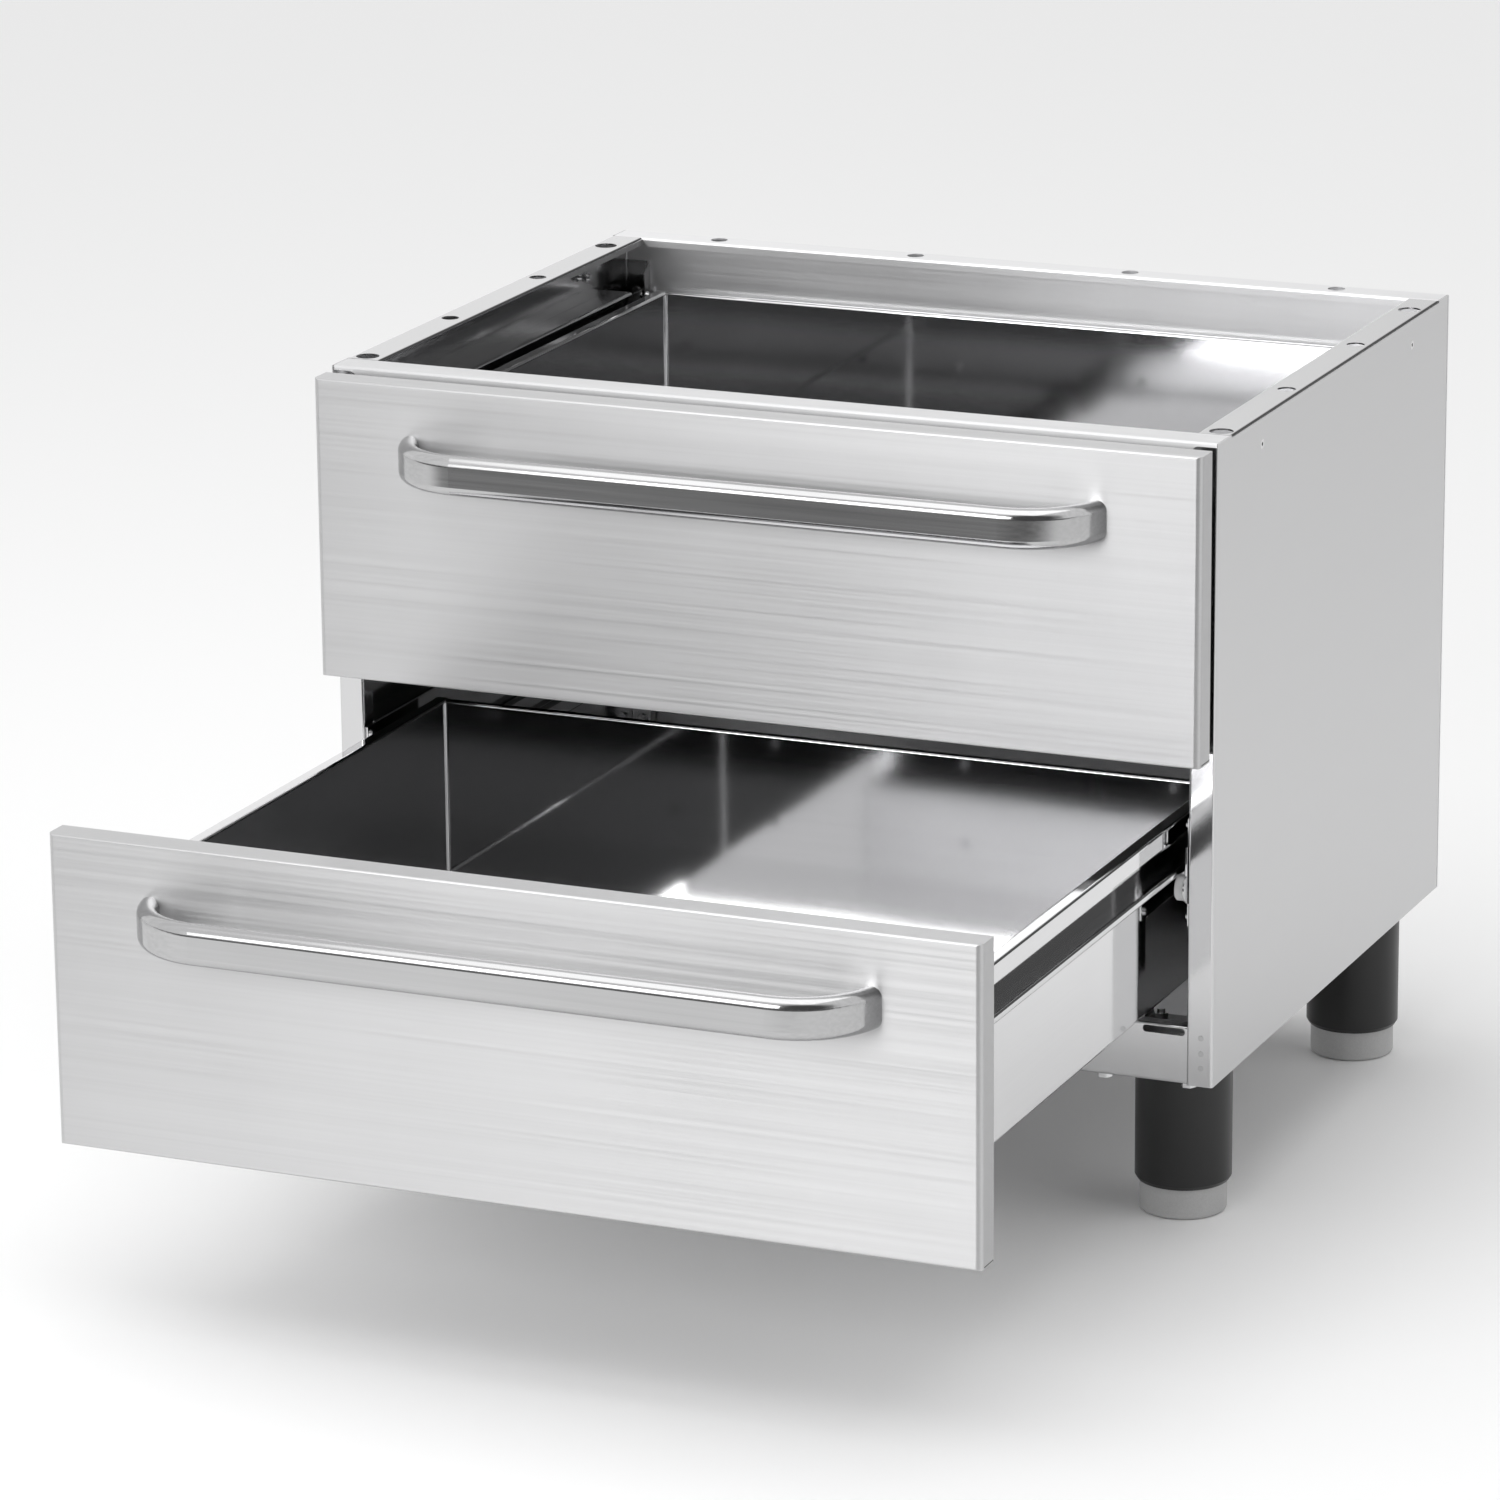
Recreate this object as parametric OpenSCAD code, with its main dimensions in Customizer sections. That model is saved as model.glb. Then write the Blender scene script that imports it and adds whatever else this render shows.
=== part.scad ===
// Open-topped steel base cabinet on four adjustable legs, with two drawers on roller runners.
// Millimetres. X runs across the front, Y from front to back, Z up from the floor.
// The upper drawer is shut and the lower one is pulled out to its stop.

/* [Body] */
// Width over the two side panels
cab_w = 700; // [560:10:1000]
// Depth from the front posts to the back panel
cab_d = 534; // [480:2:700]
// Height of the steel body without the legs
body_h = 480; // [470:2:560]
// Thickness of the body sheet
sheet = 1.2; // [1:0.1:1.6]
// Outside radius of the folds in the body sheet
fold_r = 2; // [1.8:0.1:3]
// Width of the folded front post of a side panel
post_w = 20; // [20:1:26]
// Depth of the lip folded inward behind the front post
post_lip = 16; // [14:1:20]
// Depth of the lip folded inward from the rear post
rear_post_lip = 12.5; // [12:0.5:15]
// Play between pieces that are welded or pressed face to face
seat = 0.1; // [0.05:0.05:0.2]

/* [Top frame] */
// Width of the flange along each side
side_flange = 26; // [24:1:32]
// Height of the lip turned down along the side flange
side_lip = 6; // [5:1:10]
// Depth of the top of the front rail
front_flange = 28.5; // [24:0.5:32]
// Depth of the flange along the back
rear_flange = 25; // [24:1:32]
// Height of the face of the front rail
front_rail_h = 38; // [24:1:40]
// Height of the lip turned down from the front rail and the rear flange
frame_lip = 7; // [6:1:12]
// Diameter of the four corner holes
corner_hole_d = 17.5; // [12:0.5:17.5]
// Diameter of the small holes
small_hole_d = 13.5; // [8:0.5:14]
// Side holes to the outside of the body
side_hole_inset = 11.5; // [11.5:0.5:13]
// Front corner holes to the front of the body
corner_hole_front = 38.5; // [38.5:0.5:60]
// Rear corner holes to the back of the body
corner_hole_back = 64; // [50:1:90]
// First small side hole to the front of the body
small_hole_front = 181; // [120:1:190]
// Second small side hole to the back of the body
small_hole_back = 194; // [150:1:210]
// Rear holes to the back of the body
rear_hole_inset = 11; // [10:1:14]
// Distance between the two inner rear holes
rear_hole_inner = 182; // [120:1:240]
// Distance between the two outer rear holes
rear_hole_outer = 524; // [400:1:530]

/* [Bottom] */
// Height of the bottom pan's front and rear walls
pan_h = 44; // [34:1:50]
// Depth of the lip along the top of the pan's front wall
pan_lip = 12; // [8:1:16]
// Length of the slots in the pan's front wall
slot_l = 32.5; // [20:0.5:40]
// Height of the slots
slot_h = 5.4; // [4:0.2:7]
// Middle of a slot to the outside of the body
slot_inset = 38; // [36:1:60]
// Top of the pan's front wall to the middle of a slot
slot_drop = 4.6; // [4.6:0.2:10]

/* [Legs] */
// Height of the body above the floor
leg_h = 120; // [100:5:180]
// Diameter of the black sleeve
sleeve_d = 72; // [70:1:80]
// Diameter of the foot that slides in the sleeve
foot_d = 65; // [50:1:65]
// Radial play of the foot in the sleeve
foot_play = 0.08; // [0.05:0.01:0.1]
// Length of foot that shows under the sleeve
foot_show = 24; // [15:1:40]
// Length of foot held inside the sleeve
foot_held = 46; // [35:1:50]
// Middle of a leg to the outside of the body
leg_inset_x = 46.5; // [45:0.5:70]
// Middle of a leg to the front or the back of the body
leg_inset_y = 70; // [64:1:90]
// Thickness of the leg brackets
bracket_t = 2; // [1.5:0.5:4]
// Distance across between the bracket bolts
bracket_bolt_x = 65; // [60:1:70]
// First bracket bolts to the front or the back of the body
bracket_bolt_edge = 10; // [9:0.5:12]
// Middle of the bracket bolts to the outside of the body
bracket_inset = 54; // [53:0.5:58]
// Size of the bracket bolts
bracket_bolt_d = 6; // [5:1:6]
// Size of the bolt that holds a leg
leg_bolt_d = 10; // [8:1:12]

/* [Drawer fronts] */
// Front to the outside of the body on each side
front_side = 1; // [0:0.5:4]
// Top of the body to the top of the upper front
front_drop = 2.8; // [2:0.2:10]
// Bottom of the lower front to the bottom of the body
front_rise = 15.2; // [4:0.2:20]
// Space between the two fronts
front_space = 5.6; // [3:0.2:12]
// Depth of the folded front
front_t = 22; // [18:1:30]
// Space between a shut front and the posts
front_gap = 10; // [10:1:16]
// Radius of the front's upright edges
front_edge_r = 4.5; // [3:0.5:8]
// Radius of the front's top and bottom edges
front_top_r = 1.4; // [1.2:0.1:2.5]
// Thickness of the front's sheet and of its back plate
front_sheet = 1; // [0.8:0.1:1.1]

/* [Handles] */
// Length of a handle at the drawer front
handle_l = 556; // [300:2:600]
// How far a handle stands out
handle_out = 51; // [44:1:60]
// Height of the oval tube
tube_h = 30; // [24:1:40]
// Thickness of the oval tube
tube_t = 15; // [12:1:18]
// Wall of the oval tube
tube_wall = 1.5; // [1:0.25:2]
// Outside radius of the bends
handle_bend = 65; // [62:1:90]
// Top of a drawer front to the middle of the handle
handle_drop = 52.5; // [30:0.5:90]
// Size of the handle screws
handle_screw_d = 5; // [4:1:6]

/* [Drawer boxes] */
// How far a drawer pulls out
travel = 423; // [300:1:430]
// Thickness of the box sheet
box_sheet = 1; // [0.8:0.1:1.2]
// Height of a box
box_h = 139; // [100:1:142]
// Top of a drawer front to the top of the box
box_drop = 44; // [44:1:54]
// Space between a post and the box for the runner
runner_space = 19; // [19:0.5:24]
// Back panel to the inside of the box when shut
box_back = 12; // [11:0.5:30]
// Radius of the folds in the box
box_fold_r = 2.2; // [1.6:0.1:4]
// Width of the rim folded out along the sides
rim_w = 11; // [8:0.5:12]
// Height of the lip turned down from the side rim
rim_lip = 13; // [9:1:16]
// Depth of the rim folded out along the back
back_rim = 7; // [5:0.5:7]
// Height of the lip turned down from the back rim
back_lip = 10; // [6:1:14]
// Size of the screws that hold a box to its front
box_screw_d = 4; // [3:1:5]

/* [Runners] */
// Top of a box to the underside of its rail
rail_drop = 40.8; // [36:0.2:48]
// Width of the rail on the box
rail_w = 13.5; // [13:0.5:15]
// Height of the rail on the box
rail_h = 6.5; // [6:0.5:12]
// Height of a runner plate
plate_h = 85; // [80:1:92]
// Height of a runner plate's top above the box
plate_rise = 3.6; // [3:0.2:5]
// Rear end of a runner plate's flanges to the back of the side panel
plate_flange_back = 35; // [20:1:60]
// Radius of the tongue that carries the front roller
tongue_r = 11.5; // [9:0.5:11.5]
// Height of the tongue's straight edge above the roller's middle
tongue_h = 32; // [20:1:34]
// Runner screws to the top and bottom of the plate
plate_screw_inset = 8; // [7:0.5:9]
// Size of the runner screws
plate_screw_d = 4; // [3:1:4]
// Diameter of a roller
roller_d = 19; // [16:0.5:20]
// Width of a roller
roller_w = 7; // [6:0.5:7.5]
// Diameter of a roller's pin
pin_d = 6; // [4:0.5:6]
// Radial play of a roller on its pin
pin_play = 0.05; // [0.03:0.01:0.1]
// Clearance of the moving parts
run = 0.3; // [0.3:0.1:0.5]
// Front rollers to the front of the posts
front_roller_y = 3; // [3:0.5:6]
// Rear rollers to the back of the box
rear_roller_inset = 18; // [16:1:30]
// Width of a runner track
track_w = 9; // [8.5:0.5:9.5]

/* [Small fixings] */
// Size of the screws near the top of the side panels
side_screw_d = 5; // [4:1:6]
// Side screws to the top of the body
side_screw_drop = 21; // [18:1:26]
// Front side screw to the front of the body
side_screw_front = 95; // [60:1:140]
// Rear side screw to the back of the body
side_screw_back = 91; // [60:1:140]
// Space between a side screw's nut and the side panel
side_nut_off = 2.8; // [0.1:0.1:4]
// Size of the back panel's rivets
rivet_d = 4; // [3:0.5:5]
// Height of a rivet head
rivet_head = 1; // [0.6:0.1:1.4]
// Lowest rivets to the bottom pan and highest ones to the top of the rear posts
rivet_inset = 25; // [15:1:60]

/* [Hidden] */
$fn = 48;

left = -1;
right = 1;
upper = 0;
lower = 1;
steel = [0.8, 0.81, 0.82];
bright_steel = [0.72, 0.73, 0.75];
zinc = [0.86, 0.87, 0.88];
black_plastic = [0.12, 0.12, 0.13];
grey_plastic = [0.52, 0.53, 0.54];
white_nylon = [0.93, 0.93, 0.91];

// A cutter reaches this far past what it cuts
past = 1;

// Body levels and planes, before the shift to the origin
bottom_z = leg_h;
top_z = leg_h + body_h;
half_w = cab_w / 2;
inner_w = cab_w - 2 * sheet - 2 * seat;
side_d = cab_d - sheet - seat;
post_in = half_w - post_w;
// The runner plates lie inside the front lips and outside the rear ones
plate_in = post_in - seat - sheet;
rear_post_in = plate_in - seat - sheet;
pan_z = bottom_z + pan_h;
rail_front = sheet + seat;
post_top = top_z - 3;
post_corner_r = 5;
lip_top = top_z - front_rail_h - 3;
lip_bottom = pan_z + 1;
rear_post_top = top_z - 24;
rear_post_slant = 9;

// Drawer fronts and boxes; k is 0 for the upper drawer and 1 for the lower one
front_w = cab_w - 2 * front_side;
front_h = (body_h - front_drop - front_rise - front_space) / 2;
function front_top(k) = top_z - front_drop - k * (front_h + front_space);
function box_top(k) = front_top(k) - box_drop;
function pulled(k) = k == lower ? -travel : 0;
front_face_y = -front_gap - front_t;
box_out = post_in - runner_space;
box_in = box_out - box_sheet;
box_back_in = cab_d - box_back;
box_back_out = box_back_in + box_sheet;

// Handle: the bends turn round a point behind the drawer front, to the tenth of a millimetre
bend_behind = handle_bend - handle_out;
bend_x = round(10 * (handle_l / 2 - sqrt(pow(handle_bend, 2) - pow(bend_behind, 2)))) / 10;
tube_mid_r = handle_bend - tube_t / 2;
handle_foot_x = bend_x + sqrt(pow(tube_mid_r, 2) - pow(bend_behind, 2));
plug_angle = 12;
plug_hole_depth = 11;

// Runners
roller_r = roller_d / 2;
function rail_bottom(k) = box_top(k) - rail_drop;
function plate_top(k) = box_top(k) + plate_rise;
function front_roller_z(k) = rail_bottom(k) - run - roller_r;
function track_top(k) = rail_bottom(k) - 0.6;
track_h = roller_d + 2 * run + 2 * sheet;
function rear_roller_z(k) = track_top(k) - sheet - run - roller_r;
rear_roller_y = box_back_out - rear_roller_inset;
track_front = rear_roller_y - travel - roller_r - run - sheet;
track_back = rear_roller_y + roller_r + run + sheet;
rail_back = box_back_out - 8;
plate_front = 3;
plate_back = side_d - 2 * sheet;
plate_out = half_w - sheet - seat;
tongue_front = -2;
screw_front_y = post_lip / 2;
screw_back_y = side_d - 8;

// Roller: a hub recess takes the pin's head
recess_d = pin_d + 5;
recess_depth = 2;
pin_head_d = recess_d - 1;
pin_head_h = recess_depth - run - 0.4;
roller_edge = 0.8;
roller_x_front = plate_in - run - roller_w;
roller_x_rear = plate_in - sheet - run - roller_w;

// Legs
sleeve_z = foot_show;
sleeve_top_t = 6;
sleeve_chamfer = 3;
foot_wall = 4;
foot_floor = 6;
foot_edge_r = 3;
leg_x = half_w - leg_inset_x;
leg_y_front = leg_inset_y;
leg_y_rear = cab_d - leg_inset_y;
bracket_z = bottom_z + sheet;
bracket_rise = 14;
bracket_side = 12;
bracket_bolt_y = 2 * (leg_inset_y - bracket_bolt_edge);
bracket_front = rail_front + sheet + 1;
hex_grow = 2 / sqrt(3);

// The pulled-out lower handle and the back panel's rivet heads are the two ends; the origin lies between them
y_first = front_face_y - handle_out - travel;
y_last = cab_d + rivet_head;
y_shift = -(y_first + y_last) / 2;

// Flat shapes

// Rectangle from the origin with all its corners rounded
module round_rect(w, h, r) {
    translate([r, 0]) square([w - 2 * r, h]);
    translate([0, r]) square([w, h - 2 * r]);
    for (x = [r, w - r], y = [r, h - r]) translate([x, y]) circle(r);
}

// Sheet folded once: legs a along x and b along y, with the outside of the fold at the origin
module fold_2d(a, b, t, r) {
    translate([r, 0]) square([a - r, t]);
    translate([0, r]) square([t, b - r]);
    intersection() {
        translate([r, r]) difference() {
            circle(r);
            circle(r - t);
        }
        square([r, r]);
    }
}

// Oval of the handle tube, upright, grown or shrunk by an amount
module tube_oval(grow = 0) {
    r = tube_t / 2 + grow;
    flat = tube_h - tube_t;
    translate([-r, -flat / 2]) square([2 * r, flat]);
    for (s = [-1, 1]) translate([0, s * flat / 2]) circle(r);
}

// Placing

// Extrudes a flat shape drawn in x and z along y, from y0 to y1
module along_y(y0, y1) {
    translate([0, y1, 0]) rotate([90, 0, 0]) linear_extrude(y1 - y0) children();
}

// Extrudes a flat shape drawn in y and z along x, from x0 to x1
module along_x(x0, x1) {
    translate([x0, 0, 0]) rotate([90, 0, 90]) linear_extrude(x1 - x0) children();
}

// Moves everything from the posts' plane to the origin
module placed() {
    translate([0, y_shift, 0]) children();
}

// Moves a drawer to where it stands
module on_drawer(k) {
    translate([0, pulled(k), 0]) children();
}

// Turns a shape made for the right side to side s
module on_side(s) {
    mirror([s == left ? 1 : 0, 0, 0]) children();
}

// Fasteners, drawn pointing up from the underside of the head

// Hexagon across flats
module hexagon(flats, h) {
    cylinder(d = flats * hex_grow, h = h, $fn = 6);
}

module hex_bolt(d, length, flats, head_h) {
    translate([0, 0, -head_h]) hexagon(flats, head_h);
    cylinder(d = d, h = length);
}

module hex_nut(d, flats, h) {
    difference() {
        hexagon(flats, h);
        translate([0, 0, -past]) cylinder(d = d + 2 * seat, h = h + 2 * past);
    }
}

// Round-headed screw with a cross recess
module pan_screw(d, length) {
    head_d = 1.8 * d;
    head_h = 0.6 * d;
    cylinder(d = d, h = length);
    difference() {
        translate([0, 0, -head_h]) cylinder(d1 = 0.72 * head_d, d2 = head_d, h = head_h);
        for (a = [0, 90]) rotate([0, 0, a]) cube([0.9 * d, 0.2 * d, 1.2 * head_h + head_h], center = true);
    }
}

// Body

// Right side panel: a wall with posts folded in at its front and back, and a flange at its top
module side_panel(s) {
    color(steel) placed() on_side(s) difference() {
        union() {
            side_panel_wall();
            side_panel_top();
        }
        side_panel_holes();
    }
}

module side_panel_wall() {
    rear_w = half_w - rear_post_in;
    cut_w = half_w - sheet - rear_post_in + past;
    difference() {
        translate([0, 0, bottom_z]) linear_extrude(body_h) {
            translate([half_w, 0]) mirror([1, 0]) fold_2d(post_w / 2 + seat, side_d / 2 + seat, sheet, fold_r);
            translate([post_in, 0]) fold_2d(post_w / 2 + seat, post_lip, sheet, fold_r);
            translate([half_w, side_d]) mirror([1, 0]) mirror([0, 1])
                fold_2d(rear_w / 2 + seat, side_d / 2 + seat, sheet, fold_r);
            translate([rear_post_in, side_d]) mirror([0, 1]) fold_2d(rear_w / 2 + seat, rear_post_lip, sheet, fold_r);
        }
        // Only the wall goes on above the posts
        translate([rear_post_in - past, -past, post_top]) cube([cut_w, side_d / 2, body_h]);
        translate([rear_post_in - past, side_d / 2, rear_post_top]) cube([cut_w, side_d, body_h]);
        // The lips stop short of the rails
        translate([rear_post_in - past, sheet, bottom_z - past])
            cube([post_in + fold_r - rear_post_in + past, side_d - 2 * sheet, lip_bottom - bottom_z + past]);
        translate([post_in - past, sheet, lip_top]) cube([fold_r + past, side_d / 2, body_h]);
        post_corners();
        // The top flange brings its own fold
        translate([half_w - sheet - past, front_flange, top_z - fold_r])
            cube([sheet + 2 * past, cab_d - rear_flange - front_flange, fold_r + past]);
    }
}

// Rounded corner of the front post and slanted one of the rear post's lip
module post_corners() {
    lip_y = side_d - rear_post_lip;
    translate([post_in, 0, post_top - post_corner_r]) along_y(-past, 3 * sheet) difference() {
        translate([-past, 0]) square([post_corner_r + past, post_corner_r + past]);
        translate([post_corner_r, 0]) circle(post_corner_r);
    }
    translate([0, lip_y, rear_post_top - rear_post_slant]) along_x(rear_post_in - past, rear_post_in + sheet + seat)
        polygon([[-past, -past], [rear_post_slant + past, rear_post_slant + past], [-past, rear_post_slant + past]]);
}

module side_panel_top() {
    y0 = front_flange + seat;
    y1 = cab_d - rear_flange - seat;
    translate([half_w, 0, top_z]) along_y(y0, y1) mirror([1, 0]) mirror([0, 1])
        fold_2d(side_flange / 2 + seat, fold_r + past, sheet, fold_r);
    translate([half_w - side_flange, 0, top_z]) along_y(y0, y1) mirror([0, 1])
        fold_2d(side_flange / 2 + seat, side_lip, sheet, fold_r);
}

module side_panel_holes() {
    for (y = [corner_hole_front, cab_d - corner_hole_back]) top_hole(half_w - side_hole_inset, y, corner_hole_d);
    for (y = [small_hole_front, cab_d - small_hole_back]) top_hole(half_w - side_hole_inset, y, small_hole_d);
    for (y = side_screw_ys()) translate([half_w, y, top_z - side_screw_drop]) rotate([0, -90, 0]) {
        translate([0, 0, -past]) cylinder(d = side_screw_d + 2 * seat, h = sheet + 2 * past);
        translate([0, 0, -seat]) cylinder(d1 = side_screw_head(), d2 = side_screw_d + 2 * seat, h = sheet);
    }
    for (k = [upper, lower], y = [screw_front_y, screw_back_y], z = plate_screw_zs(k))
        translate([rear_post_in - past, y, z]) rotate([0, 90, 0])
            cylinder(d = plate_screw_d + 2 * seat, h = 4 * sheet + past);
    for (z = rivet_zs()) rear_hole(half_w - post_w / 2, z, rivet_d);
}

module top_hole(x, y, d) {
    translate([x, y, top_z - 3 * sheet]) cylinder(d = d, h = 4 * sheet);
}

module rear_hole(x, z, d) {
    translate([x, side_d - sheet - past, z]) rotate([-90, 0, 0]) cylinder(d = d, h = 3 * sheet + 2 * past);
}

function side_screw_ys() = [side_screw_front, cab_d - side_screw_back];
function side_screw_head() = side_screw_d + 2 * sheet + 2 * seat;
function plate_screw_zs(k) = [plate_top(k) - plate_screw_inset, plate_top(k) - plate_h + plate_screw_inset];
function rivet_zs() = let (z0 = pan_z + rivet_inset, z1 = rear_post_top - rivet_inset)
    [z0, z0 + (z1 - z0) / 3, z0 + 2 * (z1 - z0) / 3, z1];

// Front rail of the top frame: an upright face, a top and a lip turned down inside
module top_front_rail() {
    color(steel) placed() along_x(-inner_w / 2, inner_w / 2) {
        translate([rail_front, top_z]) mirror([0, 1])
            fold_2d((front_flange - rail_front) / 2 + seat, front_rail_h, sheet, fold_r);
        translate([front_flange, top_z]) mirror([1, 0]) mirror([0, 1])
            fold_2d((front_flange - rail_front) / 2 + seat, frame_lip, sheet, fold_r);
    }
}

// Back panel, folded forward at the top to make the frame's rear flange
module rear_panel() {
    color(steel) placed() difference() {
        along_x(-half_w, half_w) {
            translate([cab_d, top_z]) mirror([1, 0]) mirror([0, 1])
                fold_2d(rear_flange / 2 + seat, body_h, sheet, fold_r);
            translate([cab_d - rear_flange, top_z]) mirror([0, 1])
                fold_2d(rear_flange / 2 + seat, frame_lip, sheet, fold_r);
        }
        // The flange fits between the side panels, and its lip between theirs
        for (s = [left, right]) on_side(s) {
            translate([inner_w / 2, 0, bottom_z]) cube([2 * sheet, side_d + seat, body_h + past]);
            translate([half_w - side_flange, 0, top_z - fold_r])
                along_y(cab_d - rear_flange - past, cab_d - rear_flange + fold_r)
                    polygon([[half_w, 0], [0, 0], [-frame_lip, -frame_lip], [half_w, -frame_lip]]);
        }
        for (s = [left, right], x = [rear_hole_inner / 2, rear_hole_outer / 2])
            top_hole(s * x, cab_d - rear_hole_inset, small_hole_d);
        for (s = [left, right], z = rivet_zs()) rear_hole(s * (half_w - post_w / 2), z, rivet_d);
    }
}

module rear_panel_rivets() {
    grip = 2 * sheet + seat;
    color(bright_steel) placed() for (s = [left, right], z = rivet_zs())
        translate([s * (half_w - post_w / 2), cab_d, z]) rotate([90, 0, 0]) {
            cylinder(d = rivet_d - seat, h = grip + rivet_d / 2);
            translate([0, 0, -rivet_head]) cylinder(d1 = 1.4 * rivet_d, d2 = 2 * rivet_d, h = rivet_head);
            translate([0, 0, grip]) cylinder(d = 1.5 * rivet_d, h = rivet_d / 2);
        }
}

// Bottom pan: floor, front wall with a lip, rear wall and low side walls
module bottom_pan() {
    back = side_d - sheet - seat;
    color(steel) placed() difference() {
        union() {
            along_x(-inner_w / 2, inner_w / 2) {
                translate([rail_front, bottom_z]) fold_2d(cab_d / 2, pan_h / 2 + seat, sheet, fold_r);
                translate([back, bottom_z]) mirror([1, 0]) fold_2d(cab_d / 2, pan_h, sheet, fold_r);
                translate([rail_front, pan_z]) mirror([0, 1]) fold_2d(pan_lip, pan_h / 2 + seat, sheet, fold_r);
            }
            for (s = [left, right]) on_side(s)
                translate([inner_w / 2 - sheet, post_lip + 2, bottom_z]) cube([sheet, side_d - 2 * post_lip - 4, pan_h / 2]);
        }
        for (s = [left, right]) on_side(s) translate([half_w - slot_inset, 0, pan_z - slot_drop])
            along_y(0, 3 * sheet) translate([-slot_l / 2, -slot_h / 2]) round_rect(slot_l, slot_h, slot_h / 2 - 0.01);
        for (y = [leg_y_front, leg_y_rear], s = [left, right]) {
            translate([s * leg_x, y, bottom_z - past]) cylinder(d = leg_bolt_d + 2 * seat, h = sheet + 2 * past);
            bracket_bolt_places(s, y) translate([0, 0, -past])
                cylinder(d = bracket_bolt_d + 2 * seat, h = sheet + 2 * past);
        }
    }
}

// Puts children at the four bolts of the bracket of the leg at side s and depth y
module bracket_bolt_places(s, y) {
    for (dx = [-0.5, 0.5], dy = [-0.5, 0.5])
        translate([s * (half_w - bracket_inset + dx * bracket_bolt_x), y + dy * bracket_bolt_y, bottom_z]) children();
}

module side_panel_screws() {
    color(bright_steel) placed() for (s = [left, right]) on_side(s) for (y = side_screw_ys())
        translate([half_w, y, top_z - side_screw_drop]) rotate([0, -90, 0]) difference() {
            union() {
                cylinder(d = side_screw_d, h = 10);
                cylinder(d1 = side_screw_head() - 3 * seat, d2 = side_screw_d, h = sheet);
            }
            translate([0, 0, -seat]) cylinder(d = 0.6 * side_screw_d, h = 2, $fn = 6);
        }
}

module side_panel_nuts() {
    color(zinc) placed() for (s = [left, right]) on_side(s) for (y = side_screw_ys())
        translate([half_w - sheet - side_nut_off, y, top_z - side_screw_drop]) rotate([0, -90, 0])
            hex_nut(side_screw_d, 1.6 * side_screw_d, 0.8 * side_screw_d);
}

// Legs; y is the leg's place along the depth

// Bracket on the pan's floor, with two edges turned up
module leg_bracket(s, y) {
    mid_x = half_w - bracket_inset;
    half_x = bracket_bolt_x / 2 + bracket_side;
    length = bracket_bolt_y + 2 * bracket_side;
    front = y < cab_d / 2 ? bracket_front : cab_d - leg_inset_y - bracket_bolt_y / 2 - bracket_side;
    back = y < cab_d / 2 ? leg_inset_y + bracket_bolt_y / 2 + bracket_side : side_d - 2 * sheet - 1;
    color(zinc) placed() on_side(s) difference() {
        along_y(front, back) {
            translate([mid_x - half_x, bracket_z]) fold_2d(half_x + seat, bracket_rise, bracket_t, bracket_t + 1);
            translate([mid_x + half_x, bracket_z]) mirror([1, 0])
                fold_2d(half_x + seat, bracket_rise, bracket_t, bracket_t + 1);
        }
        translate([leg_x, y, bottom_z]) cylinder(d = leg_bolt_d + 2 * seat, h = 4 * bracket_t);
        bracket_bolt_places(right, y) cylinder(d = bracket_bolt_d + 2 * seat, h = 4 * bracket_t);
    }
}

module bracket_bolts() {
    color(zinc) placed() for (s = [left, right], y = [leg_y_front, leg_y_rear]) bracket_bolt_places(s, y)
        hex_bolt(bracket_bolt_d, sheet + bracket_t + bracket_bolt_d + 2, 10 * bracket_bolt_d / 6, 4);
}

module bracket_nuts() {
    color(zinc) placed() for (s = [left, right], y = [leg_y_front, leg_y_rear]) bracket_bolt_places(s, y)
        translate([0, 0, sheet + bracket_t]) hex_nut(bracket_bolt_d, 10 * bracket_bolt_d / 6, 5);
}

module leg_bolts() {
    color(zinc) placed() for (s = [left, right], y = [leg_y_front, leg_y_rear])
        translate([s * leg_x, y, bottom_z - sleeve_top_t])
            hex_bolt(leg_bolt_d, sleeve_top_t + sheet + bracket_t + leg_bolt_d, 1.7 * leg_bolt_d, 0.64 * leg_bolt_d);
}

module leg_nuts() {
    color(zinc) placed() for (s = [left, right], y = [leg_y_front, leg_y_rear])
        translate([s * leg_x, y, bracket_z + bracket_t]) hex_nut(leg_bolt_d, 1.7 * leg_bolt_d, 0.8 * leg_bolt_d);
}

// Black sleeve: closed at the top, open at the bottom, with its lower edge taken off
module leg_sleeve(s, y) {
    r = sleeve_d / 2;
    bore_r = foot_d / 2 + foot_play;
    lip_r = r - sleeve_chamfer * 0.6;
    color(black_plastic) placed() translate([s * leg_x, y, 0]) rotate_extrude() polygon([
        [leg_bolt_d / 2 + seat, bottom_z], [r, bottom_z], [r, sleeve_z + sleeve_chamfer], [lip_r, sleeve_z],
        [bore_r, sleeve_z], [bore_r, bottom_z - sleeve_top_t], [leg_bolt_d / 2 + seat, bottom_z - sleeve_top_t]]);
}

// Grey foot: a cup that screws up and down inside the sleeve
module foot(s, y) {
    r = foot_d / 2;
    h = foot_show + foot_held;
    color(grey_plastic) placed() translate([s * leg_x, y, 0]) rotate_extrude() difference() {
        union() {
            translate([0, foot_edge_r]) square([r, h - foot_edge_r]);
            square([r - foot_edge_r, foot_edge_r]);
            translate([r - foot_edge_r, foot_edge_r]) circle(foot_edge_r);
        }
        translate([0, foot_floor]) square([r - foot_wall, h]);
    }
}

// Runners

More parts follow.
